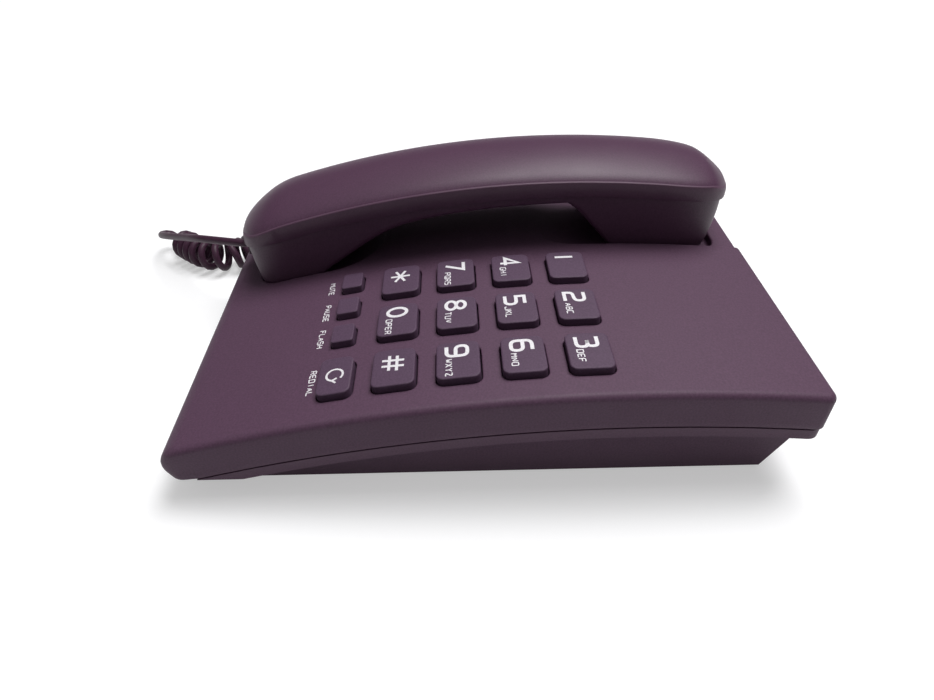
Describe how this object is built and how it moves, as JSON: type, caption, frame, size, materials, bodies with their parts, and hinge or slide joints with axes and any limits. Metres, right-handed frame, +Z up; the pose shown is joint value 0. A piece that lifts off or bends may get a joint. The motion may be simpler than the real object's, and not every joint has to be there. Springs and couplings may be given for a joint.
{
  "type": "corded telephone",
  "caption": "Corded push-button desk telephone: arched wedge base with keypad and cradle, domed handset lying in it, and a curly handset cord.",
  "frame": {"origin": "on the table under the middle of the base", "axes": "+Y from the user's edge to the rear, +X to the user's right, +Z up"},
  "size_m": [0.1584, 0.2545, 0.073],
  "materials": {
    "case_plastic": "fine matte grain, near black with a purple cast",
    "key_plastic": "smooth matte, near black",
    "soft_rubber": "soft grey rubber",
    "slider_plastic": "ribbed grey plastic",
    "steel": "zinc plated",
    "circuit_board": "green board",
    "switch_plastic": "black moulded",
    "clear_plastic": "clear polycarbonate",
    "cord_jacket": "smooth satin jacket"
  },
  "bodies": {
    "base": {"top_case": "case_plastic", "bottom_case": "case_plastic", "rubber_feet": "soft_rubber", "case_screws": "steel", "base_weight": "steel", "main_board": "circuit_board", "board_screws": "steel", "keypad_mat": "soft_rubber", "hook_spring": "steel", "hook_switch": "switch_plastic", "ringer": "steel", "base_jack": "clear_plastic", "line_jack": "clear_plastic", "ringer_switch": "switch_plastic", "dial_mode_switch": "switch_plastic", "base_plug": "clear_plastic", "curly_cord": "cord_jacket"},
    "handset": {"handset_back": "case_plastic", "handset_front": "case_plastic", "receiver_capsule": "steel", "receiver_ring": "soft_rubber", "microphone": "steel", "microphone_boot": "soft_rubber", "handset_weight": "steel", "handset_screws": "steel", "handset_jack": "clear_plastic", "handset_plug": "clear_plastic"},
    "hook": {"hook_plunger": "case_plastic"},
    "ringer_knob": {"ringer_slider": "slider_plastic"},
    "dial_mode_knob": {"dial_mode_slider": "slider_plastic"},
    "key_1_body": {"key_1": "key_plastic"},
    "key_2_body": {"key_2": "key_plastic"},
    "key_3_body": {"key_3": "key_plastic"},
    "key_4_body": {"key_4": "key_plastic"},
    "key_5_body": {"key_5": "key_plastic"},
    "key_6_body": {"key_6": "key_plastic"},
    "key_7_body": {"key_7": "key_plastic"},
    "key_8_body": {"key_8": "key_plastic"},
    "key_9_body": {"key_9": "key_plastic"},
    "key_star_body": {"key_star": "key_plastic"},
    "key_0_body": {"key_0": "key_plastic"},
    "key_hash_body": {"key_hash": "key_plastic"},
    "key_mute_body": {"key_mute": "key_plastic"},
    "key_pause_body": {"key_pause": "key_plastic"},
    "key_flash_body": {"key_flash": "key_plastic"},
    "key_redial_body": {"key_redial": "key_plastic"}
  },
  "joints": [
    {"name": "handset_lift", "type": "slide", "parent": "base", "child": "handset", "axis": [0, 0, 1], "range_m": [0, 0.08], "deforming": ["curly_cord"]},
    {"name": "hook_slide", "type": "slide", "parent": "base", "child": "hook", "axis": [0, 0, 1], "range_m": [0, 0.005], "deforming": ["hook_spring"]},
    {"name": "ringer_slide", "type": "slide", "parent": "base", "child": "ringer_knob", "axis": [1, 0, 0], "range_m": [-0.0025, 0.0025]},
    {"name": "dial_mode_slide", "type": "slide", "parent": "base", "child": "dial_mode_knob", "axis": [1, 0, 0], "range_m": [-0.0025, 0.0025]},
    {"name": "press_1", "type": "slide", "parent": "base", "child": "key_1_body", "axis": [0, 0.1077, -0.9942], "range_m": [0, 0.0015], "stiffness_N_per_m": 300, "deforming": ["keypad_mat"]},
    {"name": "press_2", "type": "slide", "parent": "base", "child": "key_2_body", "axis": [0, 0.1077, -0.9942], "range_m": [0, 0.0015], "stiffness_N_per_m": 300, "deforming": ["keypad_mat"]},
    {"name": "press_3", "type": "slide", "parent": "base", "child": "key_3_body", "axis": [0, 0.1077, -0.9942], "range_m": [0, 0.0015], "stiffness_N_per_m": 300, "deforming": ["keypad_mat"]},
    {"name": "press_4", "type": "slide", "parent": "base", "child": "key_4_body", "axis": [0, 0.1077, -0.9942], "range_m": [0, 0.0015], "stiffness_N_per_m": 300, "deforming": ["keypad_mat"]},
    {"name": "press_5", "type": "slide", "parent": "base", "child": "key_5_body", "axis": [0, 0.1077, -0.9942], "range_m": [0, 0.0015], "stiffness_N_per_m": 300, "deforming": ["keypad_mat"]},
    {"name": "press_6", "type": "slide", "parent": "base", "child": "key_6_body", "axis": [0, 0.1077, -0.9942], "range_m": [0, 0.0015], "stiffness_N_per_m": 300, "deforming": ["keypad_mat"]},
    {"name": "press_7", "type": "slide", "parent": "base", "child": "key_7_body", "axis": [0, 0.1077, -0.9942], "range_m": [0, 0.0015], "stiffness_N_per_m": 300, "deforming": ["keypad_mat"]},
    {"name": "press_8", "type": "slide", "parent": "base", "child": "key_8_body", "axis": [0, 0.1077, -0.9942], "range_m": [0, 0.0015], "stiffness_N_per_m": 300, "deforming": ["keypad_mat"]},
    {"name": "press_9", "type": "slide", "parent": "base", "child": "key_9_body", "axis": [0, 0.1077, -0.9942], "range_m": [0, 0.0015], "stiffness_N_per_m": 300, "deforming": ["keypad_mat"]},
    {"name": "press_star", "type": "slide", "parent": "base", "child": "key_star_body", "axis": [0, 0.1077, -0.9942], "range_m": [0, 0.0015], "stiffness_N_per_m": 300, "deforming": ["keypad_mat"]},
    {"name": "press_0", "type": "slide", "parent": "base", "child": "key_0_body", "axis": [0, 0.1077, -0.9942], "range_m": [0, 0.0015], "stiffness_N_per_m": 300, "deforming": ["keypad_mat"]},
    {"name": "press_hash", "type": "slide", "parent": "base", "child": "key_hash_body", "axis": [0, 0.1077, -0.9942], "range_m": [0, 0.0015], "stiffness_N_per_m": 300, "deforming": ["keypad_mat"]},
    {"name": "press_mute", "type": "slide", "parent": "base", "child": "key_mute_body", "axis": [0, 0.1077, -0.9942], "range_m": [0, 0.0015], "stiffness_N_per_m": 300, "deforming": ["keypad_mat"]},
    {"name": "press_pause", "type": "slide", "parent": "base", "child": "key_pause_body", "axis": [0, 0.1077, -0.9942], "range_m": [0, 0.0015], "stiffness_N_per_m": 300, "deforming": ["keypad_mat"]},
    {"name": "press_flash", "type": "slide", "parent": "base", "child": "key_flash_body", "axis": [0, 0.1077, -0.9942], "range_m": [0, 0.0015], "stiffness_N_per_m": 300, "deforming": ["keypad_mat"]},
    {"name": "press_redial", "type": "slide", "parent": "base", "child": "key_redial_body", "axis": [0, 0.1077, -0.9942], "range_m": [0, 0.0015], "stiffness_N_per_m": 300, "deforming": ["keypad_mat"]}
  ],
  "couplings": [
    {"joint": "hook_slide", "follows": "handset_lift", "ratio": 0.0625}
  ]
}
